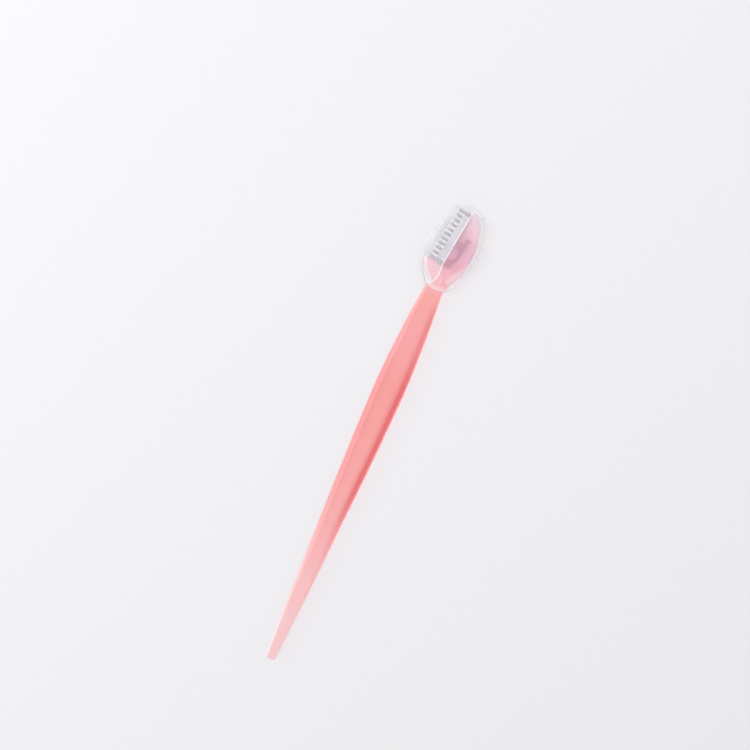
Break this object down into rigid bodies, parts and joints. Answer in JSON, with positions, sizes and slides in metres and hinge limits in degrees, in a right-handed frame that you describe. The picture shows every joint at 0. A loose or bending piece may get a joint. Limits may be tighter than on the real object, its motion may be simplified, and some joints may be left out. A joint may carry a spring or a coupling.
{
  "type": "eyebrow razor",
  "caption": "Slim eyebrow razor: a tapered handle moulded round a straight blade, a slotted folded guard on its edge and a clear oval cap that pulls off the head.",
  "frame": {"origin": "under the middle of the whole razor with its cap on, on the surface that it lies on", "axes": "+Y along the handle towards the head, -X towards the cutting edge, +Z out of the front face"},
  "size_m": [0.0148, 0.1412, 0.0049],
  "materials": {
    "handle_plastic": "translucent pink moulding with a soft gloss",
    "blade_steel": "ground stainless strip",
    "guard_foil": "thin bright foil",
    "cap_plastic": "clear thin moulding"
  },
  "bodies": {
    "razor": {"handle": "handle_plastic", "blade": "blade_steel", "blade_guard": "guard_foil"},
    "cap": {"cap": "cap_plastic"}
  },
  "joints": [
    {"name": "cap_slide", "type": "slide", "parent": "razor", "child": "cap", "axis": [0, 1, 0], "range_m": [0, 0.03]}
  ]
}
